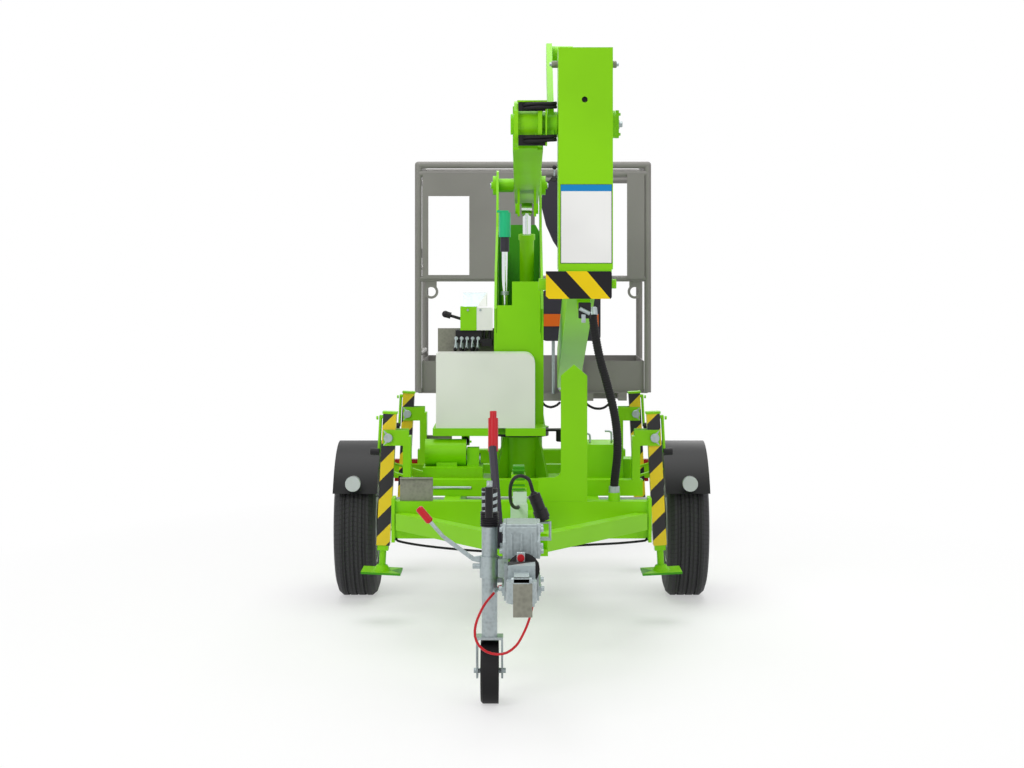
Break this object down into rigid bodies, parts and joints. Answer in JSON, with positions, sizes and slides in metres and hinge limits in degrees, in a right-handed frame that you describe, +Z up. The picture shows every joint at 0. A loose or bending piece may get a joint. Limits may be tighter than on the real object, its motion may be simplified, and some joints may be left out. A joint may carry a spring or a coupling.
{
  "type": "towable boom lift",
  "caption": "Towable articulated boom lift: braked trailer with ball coupling, jockey wheel and four swing-down legs, slewing turret, riser, telescopic upper boom and man cage.",
  "frame": {"origin": "middle of the footprint on the ground, wheels standing on Z = 0", "axes": "+X to the right seen from the coupling, +Y rearwards away from the coupling, +Z up"},
  "size_m": [1.5, 4.3814, 2.1493],
  "materials": {
    "green_paint": "semi-gloss bright green",
    "dark_green_paint": "semi-gloss dark green",
    "galvanised_steel": "galvanised",
    "black_steel": "satin black",
    "black_plastic": "matt",
    "lamp_plastic": "clear",
    "tyre_rubber": "matt",
    "rim_white": "silver white",
    "jockey_rubber": "matt",
    "white_plastic": "satin",
    "teal_paint": "satin",
    "chrome_rod": "polished",
    "grey_paint": "matt grey",
    "dark_plastic": "matt",
    "striped_paint": "yellow and black warning stripes",
    "red_plastic": "smooth",
    "black_rubber": "matt"
  },
  "bodies": {
    "chassis": {"side_rails": "green_paint", "cross_beams": "green_paint", "a_frame": "green_paint", "drawbar_beam": "green_paint", "axle_beam": "galvanised_steel", "coupling": "galvanised_steel", "handbrake_lever": "black_steel", "mudguards": "black_plastic", "lamps": "lamp_plastic", "boom_rest": "green_paint", "slew_pedestal": "green_paint", "pump_unit": "dark_green_paint", "battery_boxes": "dark_green_paint", "leg_posts": "green_paint", "jockey_tube": "galvanised_steel", "plug_holder": "galvanised_steel", "breakaway_cable": "red_plastic", "plug_cable": "black_rubber", "conduit": "black_rubber"},
    "wheel_left": {"tyre_left": "tyre_rubber", "rim_left": "rim_white"},
    "wheel_right": {"tyre_right": "tyre_rubber", "rim_right": "rim_white"},
    "jockey_fork": {"jockey_fork": "galvanised_steel"},
    "jockey_wheel": {"jockey_wheel": "jockey_rubber"},
    "turret": {"turret_frame": "green_paint", "moulded_cover": "white_plastic", "control_bank": "green_paint", "hand_pump": "teal_paint"},
    "riser": {"riser": "green_paint"},
    "riser_barrel": {"riser_barrel": "green_paint"},
    "riser_rod": {"riser_rod": "chrome_rod"},
    "knuckle": {"knuckle": "green_paint"},
    "luff_barrel": {"luff_barrel": "green_paint"},
    "luff_rod": {"luff_rod": "chrome_rod"},
    "upper_boom": {"upper_boom": "green_paint"},
    "telescope": {"telescope": "galvanised_steel"},
    "cage": {"cage_frame": "grey_paint", "cage_floor_panels": "grey_paint", "cage_console": "dark_plastic"},
    "cage_gate": {"cage_gate": "grey_paint"},
    "leg_front_left": {"leg_front_left": "striped_paint"},
    "jack_front_left": {"jack_front_left": "green_paint"},
    "leg_front_right": {"leg_front_right": "striped_paint"},
    "jack_front_right": {"jack_front_right": "green_paint"},
    "leg_rear_left": {"leg_rear_left": "striped_paint"},
    "jack_rear_left": {"jack_rear_left": "green_paint"},
    "leg_rear_right": {"leg_rear_right": "striped_paint"},
    "jack_rear_right": {"jack_rear_right": "green_paint"}
  },
  "joints": [
    {"name": "wheel_left_spin", "type": "hinge", "parent": "chassis", "child": "wheel_left", "pos_m": [-0.6675, 0.25925, 0.298], "axis": [1, 0, 0], "continuous": true},
    {"name": "wheel_right_spin", "type": "hinge", "parent": "chassis", "child": "wheel_right", "pos_m": [0.6675, 0.25925, 0.298], "axis": [1, 0, 0], "continuous": true},
    {"name": "jockey_swivel", "type": "hinge", "parent": "chassis", "child": "jockey_fork", "pos_m": [-0.098, -1.75075, 0.2], "axis": [0, 0, 1], "continuous": true},
    {"name": "jockey_wheel_spin", "type": "hinge", "parent": "jockey_fork", "child": "jockey_wheel", "pos_m": [-0.098, -1.70575, 0.1], "axis": [1, 0, 0], "continuous": true},
    {"name": "slew", "type": "hinge", "parent": "chassis", "child": "turret", "pos_m": [0, 0.25925, 0.67], "axis": [0, 0, 1], "range_deg": [-140, 140]},
    {"name": "riser_lift", "type": "hinge", "parent": "turret", "child": "riser", "pos_m": [0.022, 0.80925, 1.71], "axis": [-1, 0, 0], "range_deg": [0, 70]},
    {"name": "knuckle_level", "type": "hinge", "parent": "riser", "child": "knuckle", "pos_m": [0.022, -1.14111, 1.82929], "axis": [-1, 0, 0], "range_deg": [-70, 0]},
    {"name": "riser_barrel_tilt", "type": "hinge", "parent": "turret", "child": "riser_barrel", "pos_m": [0.022, 0.44925, 0.86], "axis": [-1, 0, 0], "range_deg": [0, 11.5]},
    {"name": "riser_rod_slide", "type": "slide", "parent": "riser_barrel", "child": "riser_rod", "axis": [0, -0.1486, 0.9889], "range_m": [0, 0.54]},
    {"name": "boom_luff", "type": "hinge", "parent": "knuckle", "child": "upper_boom", "pos_m": [0.214, -1.14111, 1.82929], "axis": [1, 0, 0], "range_deg": [0, 75]},
    {"name": "luff_barrel_tilt", "type": "hinge", "parent": "knuckle", "child": "luff_barrel", "pos_m": [0.214, -0.72111, 2.10929], "axis": [1, 0, 0], "range_deg": [0, 8]},
    {"name": "luff_rod_slide", "type": "slide", "parent": "luff_barrel", "child": "luff_rod", "axis": [0, -0.9836, -0.1803], "range_m": [0, 0.225]},
    {"name": "boom_extend", "type": "slide", "parent": "upper_boom", "child": "telescope", "axis": [0, 0.9728, -0.2317], "range_m": [0, 1.2]},
    {"name": "cage_level", "type": "hinge", "parent": "telescope", "child": "cage", "pos_m": [0.214, 1.34425, 0.8], "axis": [1, 0, 0], "range_deg": [-75, 0]},
    {"name": "cage_gate_swing", "type": "hinge", "parent": "cage", "child": "cage_gate", "pos_m": [-0.495, 2.12925, 1.3], "axis": [0, 0, 1], "range_deg": [0, 80]},
    {"name": "leg_front_left_swing", "type": "hinge", "parent": "chassis", "child": "leg_front_left", "pos_m": [-0.505, -0.34075, 0.7], "axis": [0, 1, 0], "range_deg": [0, 25]},
    {"name": "jack_front_left_slide", "type": "slide", "parent": "leg_front_left", "child": "jack_front_left", "axis": [-0.0523, 0, -0.9986], "range_m": [0, 0.28]},
    {"name": "leg_front_right_swing", "type": "hinge", "parent": "chassis", "child": "leg_front_right", "pos_m": [0.505, -0.34075, 0.7], "axis": [0, -1, 0], "range_deg": [0, 25]},
    {"name": "jack_front_right_slide", "type": "slide", "parent": "leg_front_right", "child": "jack_front_right", "axis": [0.0523, 0, -0.9986], "range_m": [0, 0.28]},
    {"name": "leg_rear_left_swing", "type": "hinge", "parent": "chassis", "child": "leg_rear_left", "pos_m": [-0.505, 0.85925, 0.7], "axis": [0, 1, 0], "range_deg": [0, 25]},
    {"name": "jack_rear_left_slide", "type": "slide", "parent": "leg_rear_left", "child": "jack_rear_left", "axis": [-0.0523, 0, -0.9986], "range_m": [0, 0.28]},
    {"name": "leg_rear_right_swing", "type": "hinge", "parent": "chassis", "child": "leg_rear_right", "pos_m": [0.505, 0.85925, 0.7], "axis": [0, -1, 0], "range_deg": [0, 25]},
    {"name": "jack_rear_right_slide", "type": "slide", "parent": "leg_rear_right", "child": "jack_rear_right", "axis": [0.0523, 0, -0.9986], "range_m": [0, 0.28]}
  ],
  "couplings": [
    {"joint": "knuckle_level", "follows": "riser_lift", "ratio": -1},
    {"joint": "riser_barrel_tilt", "follows": "riser_lift", "ratio": 0.155},
    {"joint": "riser_rod_slide", "follows": "riser_lift", "m_per_rad": 0.435},
    {"joint": "luff_barrel_tilt", "follows": "boom_luff", "ratio": 0.1025},
    {"joint": "luff_rod_slide", "follows": "boom_luff", "m_per_rad": 0.168},
    {"joint": "cage_level", "follows": "boom_luff", "ratio": -1}
  ]
}
